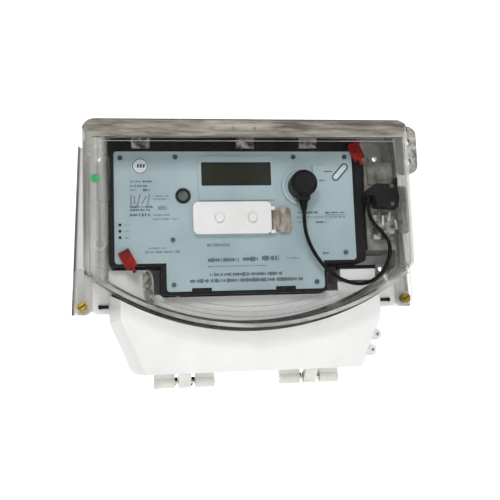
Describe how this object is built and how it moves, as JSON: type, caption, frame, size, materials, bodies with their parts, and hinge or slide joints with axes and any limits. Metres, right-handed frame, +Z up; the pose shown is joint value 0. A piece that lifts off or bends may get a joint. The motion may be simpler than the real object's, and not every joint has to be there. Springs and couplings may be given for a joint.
{
  "type": "smart electricity meter",
  "caption": "Wall-mounted smart electricity meter with clear hinged cover, white hinged terminal cover, display, push buttons, optical reading head with lead, and side modem.",
  "frame": {"origin": "rear face, at the centre of the four wall fixings", "axes": "+X right seen from the front, +Z up, front faces -Y"},
  "size_m": [0.437, 0.1183, 0.331],
  "materials": {
    "white_pc": "satin",
    "rubber": "matte",
    "steel": "satin",
    "brass": "satin",
    "black_plastic": "satin",
    "clear": "clear",
    "clear_grey": "clear",
    "sticker": "matte",
    "plate": "satin",
    "emblem": "satin",
    "window": "gloss",
    "lcd": "matte",
    "flap": "clear",
    "red_lens": "clear",
    "grey_plastic": "satin",
    "board": "satin",
    "red_plastic": "gloss",
    "copper": "satin",
    "battery": "satin",
    "blue_plastic": "satin"
  },
  "bodies": {
    "case": {"base_tray": "white_pc", "cover_gasket": "rubber", "cover_hinge_pins": "steel", "terminal_hinge_pins": "steel", "screw_inserts": "brass", "lock_pins": "black_plastic", "meter_case": "black_plastic", "meter_front": "black_plastic", "face_plate": "plate", "face_screws": "steel", "case_clips": "clear_grey", "emblem_disc": "emblem", "lcd_bezel": "plate", "lcd_window": "window", "lcd_panel": "lcd", "button_block": "white_pc", "tact_switches": "black_plastic", "flap_pin": "steel", "status_lenses": "black_plastic", "pulse_ring": "black_plastic", "pulse_lens": "red_lens", "optical_port": "plate", "port_steel_plate": "steel", "reader_head": "black_plastic", "reader_magnet": "steel", "reader_boot": "rubber", "reader_lead": "rubber", "plug_boot": "rubber", "plug_body": "black_plastic", "plug_screws": "steel", "modem_socket": "steel", "modem_case": "grey_plastic", "modem_front": "grey_plastic", "modem_board": "board", "modem_shield_can": "steel", "modem_terminals": "clear_grey", "modem_antenna": "black_plastic", "aux_cover": "white_pc", "aux_gasket": "rubber", "side_shelf": "white_pc", "side_boss_screw": "steel", "seal_left": "red_plastic", "seal_right": "red_plastic", "seal_wires": "steel", "main_board": "board", "transformer": "copper", "backup_battery": "battery", "current_sensors": "blue_plastic", "busbars": "copper", "terminal_block": "white_pc", "terminal_clamps": "brass", "terminal_screws": "steel"},
    "clear_cover_body": {"clear_cover": "clear", "inspection_sticker": "sticker"},
    "terminal_cover_body": {"terminal_cover": "white_pc"},
    "seal_screw_left_body": {"seal_screw_left": "brass"},
    "seal_screw_right_body": {"seal_screw_right": "brass"},
    "button_left_body": {"button_left": "white_pc"},
    "button_right_body": {"button_right": "white_pc"},
    "flap_body": {"flap": "flap"}
  },
  "joints": [
    {"name": "clear_cover_hinge", "type": "hinge", "parent": "case", "child": "clear_cover_body", "pos_m": [0, -0.03, 0.11], "axis": [-1, 0, 0], "range_deg": [0, 100]},
    {"name": "terminal_cover_hinge", "type": "hinge", "parent": "case", "child": "terminal_cover_body", "pos_m": [0, -0.033, -0.209], "axis": [1, 0, 0], "range_deg": [0, 110]},
    {"name": "seal_screw_left_turn", "type": "hinge", "parent": "clear_cover_body", "child": "seal_screw_left_body", "pos_m": [-0.2, -0.042, -0.115], "axis": [0, -1, 0], "continuous": true},
    {"name": "seal_screw_right_turn", "type": "hinge", "parent": "clear_cover_body", "child": "seal_screw_right_body", "pos_m": [0.2, -0.042, -0.115], "axis": [0, -1, 0], "continuous": true},
    {"name": "button_left_press", "type": "slide", "parent": "case", "child": "button_left_body", "axis": [0, 1, 0], "range_m": [0, 0.0016], "stiffness_N_per_m": 600},
    {"name": "button_right_press", "type": "slide", "parent": "case", "child": "button_right_body", "axis": [0, 1, 0], "range_m": [0, 0.0016], "stiffness_N_per_m": 600},
    {"name": "flap_hinge", "type": "hinge", "parent": "case", "child": "flap_body", "pos_m": [0.0296, -0.0794, -0.0185], "axis": [0, 0, -1], "range_deg": [0, 95]}
  ]
}
